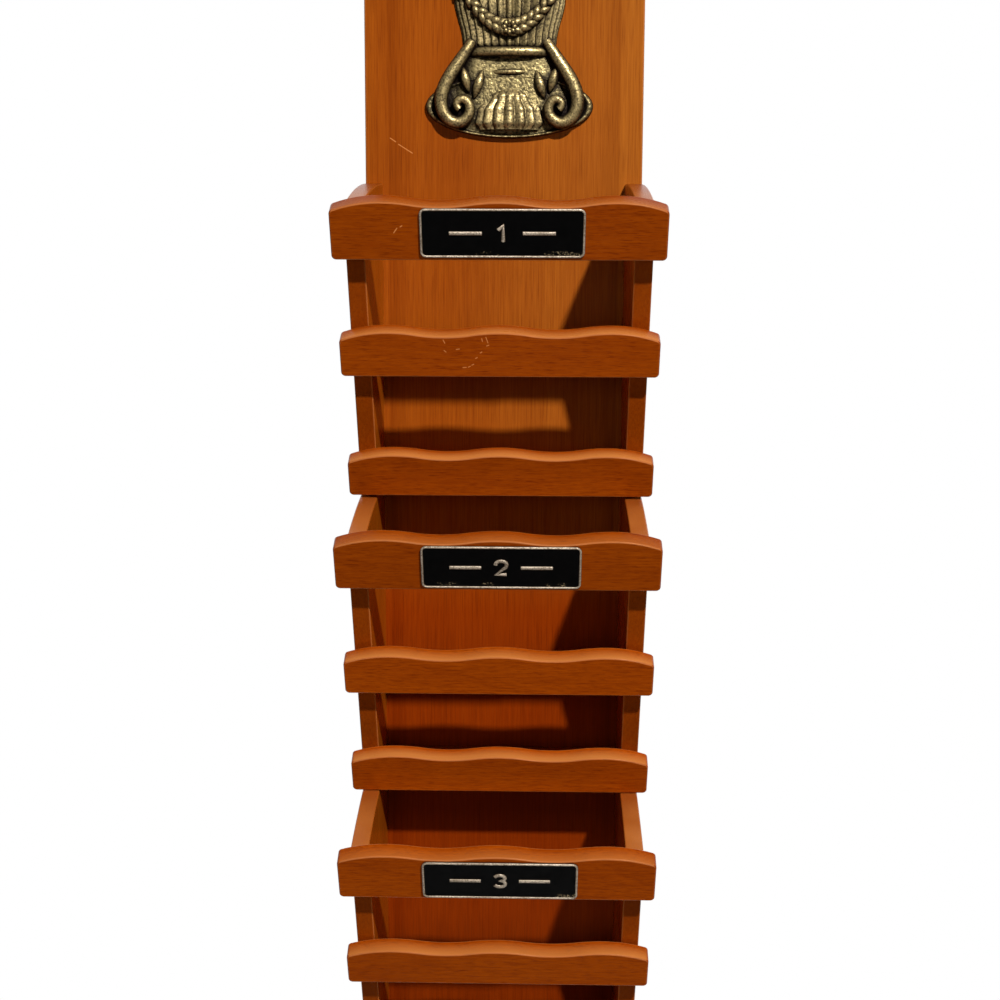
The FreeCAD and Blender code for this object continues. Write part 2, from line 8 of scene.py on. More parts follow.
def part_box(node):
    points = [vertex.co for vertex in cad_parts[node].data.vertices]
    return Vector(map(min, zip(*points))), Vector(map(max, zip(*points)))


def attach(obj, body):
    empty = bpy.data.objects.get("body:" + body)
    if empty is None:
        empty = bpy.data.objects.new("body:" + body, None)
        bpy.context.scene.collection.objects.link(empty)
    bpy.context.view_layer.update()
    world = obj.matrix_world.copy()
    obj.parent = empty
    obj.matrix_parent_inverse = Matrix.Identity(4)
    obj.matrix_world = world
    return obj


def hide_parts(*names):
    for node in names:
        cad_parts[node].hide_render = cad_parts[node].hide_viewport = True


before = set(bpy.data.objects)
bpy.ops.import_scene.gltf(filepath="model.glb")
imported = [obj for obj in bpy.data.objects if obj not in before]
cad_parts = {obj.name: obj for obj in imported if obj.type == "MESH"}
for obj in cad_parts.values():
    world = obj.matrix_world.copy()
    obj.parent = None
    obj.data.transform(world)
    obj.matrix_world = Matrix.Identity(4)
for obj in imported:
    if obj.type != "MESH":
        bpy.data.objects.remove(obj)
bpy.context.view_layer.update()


# Back board: one plank of close-grained hardwood, planed flat and wiped with a red-brown stain.
# Satin lacquer shows the fine grain; the stain is deeper at the edges, redder with painted shade lower down.
# The side boards, floors, casting and hanger are screwed to it.
mm = 0.001
# what a board's mesh tells its finish: sanded arris, its plank, wear and painted sheen on its top, its tone
board_marks = ("arris", "plank", "wear_and_sheen", "tone")


def linear(hex_colour):
    """An sRGB hex colour as the linear colour that shaders take."""
    parts = [int(hex_colour[start:start + 2], 16) / 255 for start in (1, 3, 5)]
    return [part / 12.92 if part <= 0.04045 else ((part + 0.055) / 1.055) ** 2.4 for part in parts] + [1]


def add(owner, kind, inputs=None, **settings):
    """Add a shader node; an input is a plain value or another node's output."""
    made = owner.node_tree.nodes.new(kind)
    for name, setting in settings.items():
        setattr(made, name, setting)
    for name, source in (inputs or {}).items():
        if isinstance(source, bpy.types.NodeSocket):
            owner.node_tree.links.new(source, made.inputs[name])
        else:
            made.inputs[name].default_value = source
    return made


def new_material(name):
    """A material and its surface shader."""
    made = bpy.data.materials.new(name)
    made.use_nodes = True
    return made, made.node_tree.nodes["Principled BSDF"]


def scratch_ends(node, end_shares):
    """Scratches on a board's front, from shares of its width and height to points in the frame."""
    low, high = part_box(node)
    reach = high - low
    ends = []
    for x_start, z_start, x_end, z_end in end_shares:
        start = Vector((low.x + x_start * reach.x, 0, low.z + z_start * reach.z))
        end = Vector((low.x + x_end * reach.x, 0, low.z + z_end * reach.z))
        ends.append((start, end))
    return ends


def face_turn(wood):
    """How far a surface is turned towards X, Y and Z."""
    normal = add(wood, "ShaderNodeNewGeometry").outputs["Normal"]
    return add(wood, "ShaderNodeSeparateXYZ", {0: normal}).outputs


def front_face(wood):
    """1 on a board's front and 0 on its other faces."""
    forward = {"Value": face_turn(wood)["Y"], "From Min": -0.3, "From Max": -0.6}
    return add(wood, "ShaderNodeMapRange", forward).outputs["Result"]


def lacquered_wood(name, grain_axis, run, colour, figure=1, scratches=(), stain_and_painted_light=None):
    """Stained hardwood, satin lacquer: fine grain, wear and painted sheen on tops and arrises, and scratches.
    """
    wood, shader = new_material(name)
    place = add(wood, "ShaderNodeTexCoord").outputs["Object"]
    marks = [add(wood, "ShaderNodeAttribute", attribute_name=mark).outputs["Fac"] for mark in board_marks]
    arris, plank, wear_and_sheen, tone = marks
    facing = face_turn(wood)
    colour = stain_and_painted_light(wood, linear(colour)) if stain_and_painted_light else linear(colour)
    cloud_width = 24 * mm
    streak_width = 1.1 * mm
    # real pores are about 0.1 mm wide and are drawn this coarse to show
    pore_width = 0.4 * mm
    streak_share, pore_share = (1 / 5, 1 / 16)
    # length along and width across the grain, detail, the noise values it runs between, strength and tint
    layers = (
        (run, cloud_width, 2, 0.35, 0.65, 0.35, "#D8BEAC"),
        (run * streak_share, streak_width, 3, 0.36, 0.66, 0.4 * figure, "#CDB29C"),
        (run * pore_share, pore_width, 2, 0.48, 0.68, 0.55 * figure, "#B08C74"),
    )
    # a Mix node blends the colours in its sockets 6 and 7, and gives the result in its output 2
    noises = []
    for along, across, detail, low, high, strength, tint in layers:
        scale = [1 / across] * 3
        scale[grain_axis] = 1 / along
        stretched = add(wood, "ShaderNodeMapping", {"Vector": place, "Scale": scale}).outputs["Vector"]
        noise = {"Vector": stretched, "W": plank, "Scale": 1, "Detail": detail}
        noise = add(wood, "ShaderNodeTexNoise", noise, noise_dimensions="4D").outputs["Fac"]
        part = {"Value": noise, "From Min": low, "From Max": high, "To Max": strength}
        part = add(wood, "ShaderNodeMapRange", part).outputs["Result"]
        colour = {0: part, 6: colour, 7: linear(tint)}
        colour = add(wood, "ShaderNodeMix", colour, data_type="RGBA", blend_type="MULTIPLY").outputs[2]
        noises.append(noise)
    clouds, _, grain = noises
    colour = add(wood, "ShaderNodeVectorMath", {0: colour, "Scale": tone}, operation="SCALE").outputs[0]
    # upward faces are drawn paler, part wear and part painted sheen
    top_wear_and_sheen = {"Value": facing["Z"], "From Min": 0.5, "From Max": 0.9, "To Max": wear_and_sheen}
    top_wear_and_sheen = add(wood, "ShaderNodeMapRange", top_wear_and_sheen).outputs["Result"]
    patchy = {"Value": clouds, "From Min": 0.35, "From Max": 0.65, "To Min": 0.6, "To Max": 1}
    patchy = add(wood, "ShaderNodeMapRange", patchy).outputs["Result"]
    top_wear_and_sheen = add(wood, "ShaderNodeMath", {0: top_wear_and_sheen, 1: patchy}, operation="MULTIPLY").outputs[0]
    endwise = add(wood, "ShaderNodeMath", {0: facing[grain_axis]}, operation="ABSOLUTE").outputs[0]
    lengthwise = {"Value": endwise, "From Min": 0.5, "From Max": 0.25}
    lengthwise = add(wood, "ShaderNodeMapRange", lengthwise).outputs["Result"]
    # sanded arrises are drawn paler, part worn through the stain and part painted highlight
    arris_wear_and_highlight = add(wood, "ShaderNodeMath", {0: arris, 1: lengthwise}, operation="MULTIPLY").outputs[0]
    # paler colours: tops (wear, painted sheen), arrises (wear, painted highlight), scratches (bare wood)
    rubbed_and_sheen, edge_wear_and_highlight, bared = ("#C87838", "#D88E54", "#F09C54")
    edge_share, scratch_share = (0.4, 0.8)
    wear_and_sheen_marks = [(top_wear_and_sheen, 1, rubbed_and_sheen), (arris_wear_and_highlight, edge_share, edge_wear_and_highlight)]
    scratch_width = 0.36 * mm
    front = front_face(wood)
    flat = add(wood, "ShaderNodeVectorMath", {0: place, 1: (1, 0, 1)}, operation="MULTIPLY").outputs[0]
    for start, end in scratches:
        run_out = end - start
        away = add(wood, "ShaderNodeVectorMath", {0: flat, 1: start}, operation="SUBTRACT").outputs[0]
        share = {0: away, 1: run_out / run_out.length_squared}
        share = add(wood, "ShaderNodeVectorMath", share, operation="DOT_PRODUCT").outputs["Value"]
        share = add(wood, "ShaderNodeMapRange", {"Value": share}).outputs["Result"]
        nearest = {0: run_out, "Scale": share}
        nearest = add(wood, "ShaderNodeVectorMath", nearest, operation="SCALE").outputs[0]
        gap = {0: away, 1: nearest}
        gap = add(wood, "ShaderNodeVectorMath", gap, operation="DISTANCE").outputs["Value"]
        inside = {"Value": gap, "From Min": scratch_width, "From Max": 0, "To Max": front}
        inside = add(wood, "ShaderNodeMapRange", inside).outputs["Result"]
        wear_and_sheen_marks.append((inside, scratch_share, bared))
    for where, strength, paler in wear_and_sheen_marks:
        part = add(wood, "ShaderNodeMath", {0: where, 1: strength}, operation="MULTIPLY").outputs[0]
        colour = {0: part, 6: colour, 7: linear(paler)}
        colour = add(wood, "ShaderNodeMix", colour, data_type="RGBA").outputs[2]
    wood.node_tree.links.new(colour, shader.inputs["Base Color"])
    sheen = {"Value": grain, "From Min": 0.3, "From Max": 0.7, "To Min": 0.24, "To Max": 0.33}
    sheen = add(wood, "ShaderNodeMapRange", sheen).outputs["Result"]
    wood.node_tree.links.new(sheen, shader.inputs["Roughness"])
    pore_depth = 0.1 * mm
    pitted = {"Height": grain, "Strength": 0.2, "Distance": pore_depth}
    pitted = add(wood, "ShaderNodeBump", pitted).outputs["Normal"]
    wood.node_tree.links.new(pitted, shader.inputs["Normal"])
    shader.inputs["IOR"].default_value = 1.48
    shader.inputs["Specular IOR Level"].default_value = 0.2
    shader.inputs["Specular Tint"].default_value = linear("#DCAA84")
    return wood


def outer_arrises(bm):
    """Sharp edges of a board's outline; the rims of holes and recesses are short loops and stay as cut."""
    arris_angle = math.radians(45)
    hole_reach = 60 * mm
    sharp = {edge for edge in bm.edges if edge.calc_face_angle(0) > arris_angle}
    found = []
    while sharp:
        loop = [sharp.pop()]
        for edge in loop:
            near = {other for vert in edge.verts for other in vert.link_edges} & sharp
            sharp -= near
            loop += near
        points = [vert.co for edge in loop for vert in edge.verts]
        spans = [[point[axis] for point in points] for axis in range(3)]
        reach = max(max(span) - min(span) for span in spans)
        if reach > hole_reach:
            found += loop
    return found


def mesh_of(name, bm, smooth=True):
    """A built shape's mesh, with smooth or flat faces."""
    for face in bm.faces:
        face.smooth = smooth
    mesh = bpy.data.meshes.new(name)
    bm.to_mesh(mesh)
    bm.free()
    return mesh


def show(name, mesh, material, slot, *replaced):
    """Put a mesh into the scene as a piece of the object."""
    piece = bpy.data.objects.new(name, mesh)
    bpy.context.scene.collection.objects.link(piece)
    mesh.materials.append(material)
    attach(piece, "root")
    if replaced:
        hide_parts(*replaced)
    return piece


def sanded_board(node, material, plank, round_over, wear_and_sheen=0.5, tone=1, lean=0):
    """A board with sanded arrises, leaning out by lean, its own plank number, top wear with painted sheen,
    and tone.
    """
    weld = 0.002 * mm
    # wear and painted sheen are strongest at the front; the rear share is below zero, so they end before the
    # rear edge
    front_wear_and_sheen_share, rear_wear_and_sheen_share = (1.75, -0.35)
    rearward = Vector((0, math.cos(lean), math.sin(lean)))
    flat_angle = math.radians(1)
    bm = bmesh.new()
    bm.from_mesh(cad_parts[node].data)
    bmesh.ops.remove_doubles(bm, verts=bm.verts, dist=weld)
    bmesh.ops.dissolve_limit(bm, angle_limit=flat_angle, verts=bm.verts, edges=bm.edges)
    arrises = outer_arrises(bm)
    made = bmesh.ops.bevel(bm, geom=arrises, offset=round_over, segments=4, profile=0.5, affect="EDGES")
    worn_faces = set(made["faces"])
    layers = [bm.verts.layers.float.new(name) for name in board_marks]
    depths = [vert.co.dot(rearward) for vert in bm.verts]
    nearest, farthest = min(depths), max(depths)
    for vert, depth in zip(bm.verts, depths):
        on_arris = float(all(face in worn_faces for face in vert.link_faces))
        rear = (depth - nearest) / (farthest - nearest)
        top_wear_and_sheen_share = wear_and_sheen * (front_wear_and_sheen_share + (rear_wear_and_sheen_share - front_wear_and_sheen_share) * rear)
        for layer, value in zip(layers, (on_arris, plank, top_wear_and_sheen_share, tone)):
            vert[layer] = value
    name = f"{node}_sanded"
    piece = show(name, mesh_of(name, bm), material, "stained_wood", node)
    piece.modifiers.new("flat_faces", "WEIGHTED_NORMAL")


def board_stain_and_shade(wood, colour):
    """The board's colour: paler to the right, redder stain and painted shade lower down, darker just inside
    each long edge.
    """
    pale_start, pale_end = (-30 * mm, 70 * mm)
    # lower down the front is drawn redder and darker: a redder stain, and painted shade behind the lower
    # tiers
    stain_and_shade_top, stain_and_shade_end = (-300 * mm, -380 * mm)
    dark_top, dark_end = (-430 * mm, -500 * mm)
    band_start, band_end, band_turn = (52 * mm, 63 * mm, 65 * mm)
    band_share = 0.5
    place = add(wood, "ShaderNodeTexCoord").outputs["Object"]
    across, _, level = add(wood, "ShaderNodeSeparateXYZ", {0: place}).outputs
    outward = add(wood, "ShaderNodeMath", {0: across}, operation="ABSOLUTE").outputs[0]
    front = front_face(wood)
    # what each tone follows, where it starts and is full, and how much it then is
    runs = (
        (across, pale_start, pale_end, 1),
        (level, stain_and_shade_top, stain_and_shade_end, front),
        (level, dark_top, dark_end, front),
        (outward, band_start, band_end, band_share),
        (outward, band_turn, band_end, front),
    )
    shares = []
    for value, start, end, most in runs:
        share = {"Value": value, "From Min": start, "From Max": end, "To Max": most}
        shares.append(add(wood, "ShaderNodeMapRange", share).outputs["Result"])
    pale, stain_and_shade, dark, rising, falling = shares
    band = add(wood, "ShaderNodeMath", {0: rising, 1: falling}, operation="MULTIPLY").outputs[0]
    # tones: paler wood, redder stain with painted shade, deeper painted shade lower still, darker band by the
    # edges
    tones = (
        (pale, "#B4661E", "MIX"),
        (stain_and_shade, "#983A04", "MIX"),
        (dark, "#8A3203", "MIX"),
        (band, "#C8AE9A", "MULTIPLY"),
    )
    for share, tone, blend in tones:
        colour = {0: share, 6: colour, 7: linear(tone)}
        colour = add(wood, "ShaderNodeMix", colour, data_type="RGBA", blend_type=blend).outputs[2]
    return colour


upright = 2
board_plank = 1
board_run = 360 * mm
board_round_over = 1 * mm
board_scratch_shares = ((0.09, 0.779, 0.11, 0.776), (0.12, 0.774, 0.17, 0.767))
board_scratches = scratch_ends("back_board", board_scratch_shares)
board_wood = lacquered_wood("board_wood", upright, board_run, "#A85310", scratches=board_scratches,
                            stain_and_painted_light=board_stain_and_shade)
sanded_board("back_board", board_wood, board_plank, board_round_over)


# Side boards: sawn to three teeth from wider stock, grain upright, arched on top of each tooth.
# Same lacquered hardwood as the back board, stained redder.
# Screwed to it from behind, flush with its edges.
def sawn_stain_and_light(wood, colour):
    """Side boards' colour: the sawn edges take more stain; the planed faces are drawn paler, partly as
    painted light.
    """
    sideways = {0: face_turn(wood)["X"]}
    sideways = add(wood, "ShaderNodeMath", sideways, operation="ABSOLUTE").outputs[0]
    # faces turned sideways are drawn paler; on the lit inner faces this is painted light
    planed_paler_and_lit = {"Value": sideways, "From Min": 0.5, "From Max": 0.9}
    planed_paler_and_lit = add(wood, "ShaderNodeMapRange", planed_paler_and_lit).outputs["Result"]
    colour = {0: planed_paler_and_lit, 6: colour, 7: linear("#C4680F")}
    return add(wood, "ShaderNodeMix", colour, data_type="RGBA").outputs[2]


side_run = 260 * mm
side_round_over = 0.8 * mm
side_wood = lacquered_wood("side_wood", upright, side_run, "#9A4406", stain_and_painted_light=sawn_stain_and_light)
side_planks = {"left_side_board": 2, "right_side_board": 3}
for node, plank in side_planks.items():
    sanded_board(node, side_wood, plank, side_round_over)


# Pocket floors: plain strips between the side boards, one behind each lowest slat.
# Same wood as the slats, grain running across.
# Screwed from behind through the back board.
crosswise = 0
slat_run = 95 * mm
slat_figure = 1.25
floor_round_over = 0.6 * mm
label_scratch_shares = ((0.19, 0.42, 0.20, 0.49), (0.21, 0.51, 0.215, 0.525))
middle_scratch_shares = (
    (0.325, 0.72, 0.33, 0.66), (0.445, 0.75, 0.447, 0.70), (0.458, 0.775, 0.464, 0.67),
    (0.46, 0.61, 0.467, 0.625), (0.44, 0.475, 0.445, 0.495), (0.327, 0.52, 0.333, 0.49),
    (0.365, 0.54, 0.375, 0.55), (0.385, 0.19, 0.395, 0.195), (0.402, 0.20, 0.408, 0.215),
    (0.413, 0.24, 0.419, 0.255), (0.425, 0.37, 0.43, 0.385),
)
slat_scratches = scratch_ends("label_slat_1", label_scratch_shares)
slat_scratches += scratch_ends("middle_slat_1", middle_scratch_shares)
slat_wood = lacquered_wood("slat_wood", crosswise, slat_run, "#AC4C05", slat_figure, slat_scratches)
tiers = (1, 2, 3)
floor_planks = (4, 5, 6)
for tier, plank in zip(tiers, floor_planks):
    sanded_board(f"pocket_floor_{tier}", slat_wood, plank, floor_round_over)


# Slats: three to a tier, wavy on top, lying on the side boards' leaning front edges.
# Hardwood stained redder than the back board, grain running across, arrises just broken by the sander.
# Held by blind dowels, so no fixing shows.
slat_round_over = 0.8 * mm
lean = math.radians(25)
tier_planks = 10
# wear and painted sheen on the top, then the tone of each tier's slat, above 1 where it is paler
slat_shares = {
    "label": (0.35, (0.86, 0.87, 1.04)),
    "middle": (0.75, (0.96, 1.07, 1.06)),
    "lower": (0.85, (1, 1.22, 1)),
}
for tier in tiers:
    for row, (kind, (wear_and_sheen, tones)) in enumerate(slat_shares.items()):
        plank = tier_planks * tier + row
        tone = tones[tier - 1]
        sanded_board(f"{kind}_slat_{tier}", slat_wood, plank, slat_round_over, wear_and_sheen, tone, lean)


# Dowels: plain beech pins hidden between slats and side boards.
# Bare turned wood, its pores drawn as coarse as they need to show.
# Glued into both.
beech, shader = new_material("turned_beech")
pore_width = 0.4 * mm
place = add(beech, "ShaderNodeTexCoord").outputs["Object"]
pores = add(beech, "ShaderNodeTexNoise", {"Vector": place, "Scale": 1 / pore_width}).outputs["Fac"]
colour = {0: pores, 6: linear("#D2AE7C"), 7: linear("#B08A5A")}
colour = add(beech, "ShaderNodeMix", colour, data_type="RGBA").outputs[2]
beech.node_tree.links.new(colour, shader.inputs["Base Color"])
shader.inputs["Roughness"].default_value = 0.7
for tier in tiers:
    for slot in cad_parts[f"slat_dowels_{tier}"].material_slots:
        slot.material = beech


# Label plates: a pressed plate on each top slat, its field enamelled black.
# The raised rim, rules and numeral are bare brass, gone dull and grey with handling.
# Glued to the slat's face.
plate_thick = 1.6 * mm
plate_corner = 3 * mm
field_thick = 1.1 * mm
rim_radius = 0.65 * mm
stroke_radius = 1.1 * mm
stroke_flat_share = 0.6
numeral_wide = 5.6 * mm
numeral_tall = 8.4 * mm
rule_start = 10 * mm
rule_length = 16 * mm
corner_steps = 6
# each numeral's stroke, as points in shares of its width and height
numeral_shares = (
    ((-0.34, 0.72), (0.06, 1), (0.06, 0)),
    ((-0.5, 0.72), (-0.44, 0.87), (-0.26, 0.97), (0, 1), (0.26, 0.97), (0.44, 0.87), (0.5, 0.72),
     (0.42, 0.54), (-0.5, 0), (0.5, 0)),
    ((-0.46, 0.86), (-0.26, 0.97), (0, 1), (0.28, 0.96), (0.44, 0.84), (0.46, 0.7), (0.34, 0.57),
     (0, 0.53), (0.36, 0.47), (0.5, 0.3), (0.46, 0.14), (0.28, 0.03), (0, 0), (-0.28, 0.03), (-0.5, 0.16)),
)


def bar_mesh(points, radii, closed=False, smooth=False):
    """A round bar along points, with a radius at each of them; a smooth one is drawn as a flowing line."""
    curve = bpy.data.curves.new("bar", "CURVE")
    curve.dimensions = "3D"
    curve.bevel_depth = 1
    curve.bevel_resolution = 3
    curve.use_fill_caps = True
    spline = curve.splines.new("NURBS" if smooth else "POLY")
    spline.points.add(len(points) - 1)
    for index, point in enumerate(points):
        spline.points[index].co = (*point, 1)
        spline.points[index].radius = radii[index]
    spline.use_cyclic_u = closed
    spline.use_endpoint_u = smooth
    holder = bpy.data.objects.new("bar", curve)
    mesh = bpy.data.meshes.new_from_object(holder)
    bpy.data.objects.remove(holder)
    bpy.data.curves.remove(curve)
    return mesh


def aged_brass(name, bright, dark, bare_share, hollow_reach, pit_size, pit_depth):
    """Brass: dark patina in its hollows, rubbed bright where a hand or cloth reaches, painted highlight
    facing front, pitted.
    """
    brass, shader = new_material(name)
    place = add(brass, "ShaderNodeTexCoord").outputs["Object"]
    blotch_size = 6 * mm
    blotch = {"Vector": place, "Scale": 1 / blotch_size, "Detail": 4}
    blotch = add(brass, "ShaderNodeTexNoise", blotch).outputs["Fac"]
    pits = {"Vector": place, "Scale": 1 / pit_size, "Detail": 3}
    pits = add(brass, "ShaderNodeTexNoise", pits).outputs["Fac"]
    open_sky = add(brass, "ShaderNodeAmbientOcclusion", {"Distance": hollow_reach}, samples=8).outputs["AO"]
    normal = add(brass, "ShaderNodeNewGeometry").outputs["Normal"]
    # faces turned to the front are drawn brighter: part rubbing, part painted highlight
    outward = {0: normal, 1: (0, -1, 0)}
    outward = add(brass, "ShaderNodeVectorMath", outward, operation="DOT_PRODUCT").outputs["Value"]
    # what the rubbing and painted highlight follow, the values they run between, and the least left of them
    reaches = (
        (open_sky, 0.5, 0.92, 0),
        (outward, 0.4, 0.9, 0.05),
        (blotch, 0.3, 0.55, 0.5),
        (pits, 0.38, 0.56, 0.25),
    )
    rubbed_and_sheen = 1
    for reached, low, high, least in reaches:
        part = {"Value": reached, "From Min": low, "From Max": high, "To Min": least, "To Max": 1}
        part = add(brass, "ShaderNodeMapRange", part).outputs["Result"]
        rubbed_and_sheen = add(brass, "ShaderNodeMath", {0: rubbed_and_sheen, 1: part}, operation="MULTIPLY").outputs[0]
    colour = {0: rubbed_and_sheen, 6: linear(dark), 7: linear(bright)}
    colour = add(brass, "ShaderNodeMix", colour, data_type="RGBA").outputs[2]
    brass.node_tree.links.new(colour, shader.inputs["Base Color"])
    rough = {"Value": rubbed_and_sheen, "To Min": 0.6, "To Max": 0.36}
    rough = add(brass, "ShaderNodeMapRange", rough).outputs["Result"]
    brass.node_tree.links.new(rough, shader.inputs["Roughness"])
    pitted = {"Height": pits, "Strength": 0.7, "Distance": pit_depth}
    pitted = add(brass, "ShaderNodeBump", pitted).outputs["Normal"]
    brass.node_tree.links.new(pitted, shader.inputs["Normal"])
    shader.inputs["Metallic"].default_value = bare_share
    return brass


def black_enamel():
    """Stoved enamel: deep black, faint orange-peel, gloss dulled by dust, a few chips by the lower rim."""
    enamel, shader = new_material("black_enamel")
    texture = add(enamel, "ShaderNodeTexCoord")
    patch_size = 14 * mm
    dust_size = 3 * mm
    peel_size = 0.8 * mm
    noises = []
    for size in (patch_size, dust_size, peel_size):
        noise = {"Vector": texture.outputs["Object"], "Scale": 1 / size, "Detail": 3}
        noises.append(add(enamel, "ShaderNodeTexNoise", noise).outputs["Fac"])
    patch, dust, peel = noises
    colour = {0: dust, 6: linear("#030303"), 7: linear("#080707")}
    colour = add(enamel, "ShaderNodeMix", colour, data_type="RGBA").outputs[2]
    level = add(enamel, "ShaderNodeSeparateXYZ", {0: texture.outputs["Generated"]}).outputs["Z"]
    chipped = {"Value": level, "From Min": 0.14, "From Max": 0.11}
    chipped = add(enamel, "ShaderNodeMapRange", chipped).outputs["Result"]
    for noise, low, high in ((patch, 0.54, 0.58), (peel, 0.56, 0.62)):
        flaked = {"Value": noise, "From Min": low, "From Max": high}
        flaked = add(enamel, "ShaderNodeMapRange", flaked).outputs["Result"]
        chipped = add(enamel, "ShaderNodeMath", {0: chipped, 1: flaked}, operation="MULTIPLY").outputs[0]
    colour = {0: chipped, 6: colour, 7: linear("#A08C6C")}
    colour = add(enamel, "ShaderNodeMix", colour, data_type="RGBA").outputs[2]
    enamel.node_tree.links.new(colour, shader.inputs["Base Color"])
    gloss = {"Value": dust, "From Min": 0.3, "From Max": 0.7, "To Min": 0.28, "To Max": 0.4}
    gloss = add(enamel, "ShaderNodeMapRange", gloss).outputs["Result"]
    enamel.node_tree.links.new(gloss, shader.inputs["Roughness"])
    peel_depth = 0.1 * mm
    rippled = {"Height": peel, "Strength": 0.08, "Distance": peel_depth}
    rippled = add(enamel, "ShaderNodeBump", rippled).outputs["Normal"]
    enamel.node_tree.links.new(rippled, shader.inputs["Normal"])
    shader.inputs["Specular IOR Level"].default_value = 0.15
    return enamel


def plate_corners(width, height, inset):
    """Points of a plate's outline, drawn in by an inset, anticlockwise from the lower right."""
    radius = plate_corner - inset
    points = []
    for quarter, (side, level) in enumerate(((1, 0), (1, 1), (-1, 1), (-1, 0))):
        centre_x = side * (width / 2 - plate_corner)
        centre_y = plate_corner + level * (height - 2 * plate_corner)
        for step in range(corner_steps + 1):
            turn = math.radians(90) * (quarter - 1 + step / corner_steps)
            x = centre_x + radius * math.cos(turn)
            y = centre_y + radius * math.sin(turn)
            points.append(Vector((x, y, 0)))
    return points


enamel = black_enamel()
rim_hollow = 1 * mm
rim_pit = 0.7 * mm
rim_pit_depth = 0.15 * mm
plate_bare_share = 0.45
plate_brass = aged_brass("dulled_brass", "#E6D4BC", "#6A543C", plate_bare_share, rim_hollow, rim_pit,
                         rim_pit_depth)
for tier, numeral in zip(tiers, numeral_shares):
    low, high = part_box(f"label_plate_{tier}")
    width = high.x - low.x
    height = (high.z - low.z - plate_thick * math.sin(lean)) / math.cos(lean)
    seat = Vector(((low.x + high.x) / 2, high.y, low.z + plate_thick * math.sin(lean)))
    on_slat = Matrix.Translation(seat) @ Matrix.Rotation(math.radians(90) + lean, 4, "X")
    bm = bmesh.new()
    field = bm.faces.new([bm.verts.new(point) for point in plate_corners(width, height, rim_radius / 2)])
    raised = bmesh.ops.extrude_face_region(bm, geom=[field])["geom"]
    lifted = [item for item in raised if isinstance(item, bmesh.types.BMVert)]
    bmesh.ops.translate(bm, verts=lifted, vec=(0, 0, field_thick))
    bmesh.ops.recalc_face_normals(bm, faces=bm.faces)
    plate = mesh_of(f"label_field_{tier}", bm, smooth=False)
    plate.transform(on_slat)
    show(f"label_field_{tier}", plate, enamel, "label_black", f"label_plate_{tier}")
    numeral_low = (height - numeral_tall) / 2
    strokes = [[Vector((x * numeral_wide, numeral_low + y * numeral_tall, 0)) for x, y in numeral]]
    for side in (-1, 1):
        strokes.append([Vector((side * x, height / 2, 0)) for x in (rule_start, rule_start + rule_length)])
    rim = plate_corners(width, height, rim_radius)
    bars = [(rim, rim_radius, 1, plate_thick - rim_radius)]
    bars += [(stroke, stroke_radius, stroke_flat_share, field_thick) for stroke in strokes]
    bm = bmesh.new()
    for points, radius, flat, lift in bars:
        bar = bar_mesh(points, [radius] * len(points), closed=points is rim)
        bar.transform(Matrix.Translation((0, 0, lift)) @ Matrix.Diagonal((1, 1, flat, 1)))
        bm.from_mesh(bar)
    trim = mesh_of(f"label_trim_{tier}", bm)
    trim.transform(on_slat)
    show(f"label_trim_{tier}", trim, plate_brass, "antique_brass")


# Ornament: a cast relief of a reeded, lidded urn with a laurel swag, on a lobed foot and two scroll legs.
# Brass, dark patina in the hollows, high parts rubbed bright and given a painted highlight; the mound is
# hammered.
# Two screws from behind hold it to the back board.
low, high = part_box("ornament")
foot = Vector(((low.x + high.x) / 2, high.y, low.z))
unit = (high.x - low.x) / 2


def skin(bm, rows, closed):
    """Quads between rows of points, given across, out and up as shares of the casting's half width."""
    grid = [[bm.verts.new(foot + unit * Vector((x, -out, z))) for x, out, z in row] for row in rows]
    for lower, upper in zip(grid, grid[1:]):
        for here in range(len(lower) if closed else len(lower) - 1):
            there = (here + 1) % len(lower)
            bm.faces.new((lower[here], lower[there], upper[there], upper[here]))


def eased_between(table, share):
    """A value read from a table of (share, value) pairs, with smooth runs between them."""
    for (start, first), (end, last) in zip(table, table[1:]):
        if share <= end:
            part = (share - start) / (end - start)
            part = part * part * (3 - 2 * part)
            return first + (last - first) * part
    return table[-1][1]


def cast_piece(name, bm, material, *replaced):
    """One part of the casting, smooth all over."""
    bmesh.ops.recalc_face_normals(bm, faces=bm.faces)
    show(name, mesh_of(name, bm), material, "antique_brass", *replaced)


# the mound: an oval dish with a rolled lip and a low dome, given by how far it stands out from middle to edge
mound = bmesh.new()
mound_half_share = 0.37
dome_shares = ((0, 0.10), (0.55, 0.085), (0.82, 0.055), (0.88, 0.05), (0.945, 0.095), (0.985, 0.085),
               (1, 0.05))
rings = 40
spokes = 144
turns = [math.tau * spoke / spokes for spoke in range(spokes)]
rows = [[(math.cos(turn), 0, mound_half_share * (1 + math.sin(turn))) for turn in turns]]
for ring in range(rings, -1, -1):
    share = ring / rings
    out = eased_between(dome_shares, share)
    spots = [(share * math.cos(turn), share * math.sin(turn)) for turn in turns]
    rows.append([(x, out, mound_half_share * (1 + z)) for x, z in spots])
skin(mound, rows, closed=True)

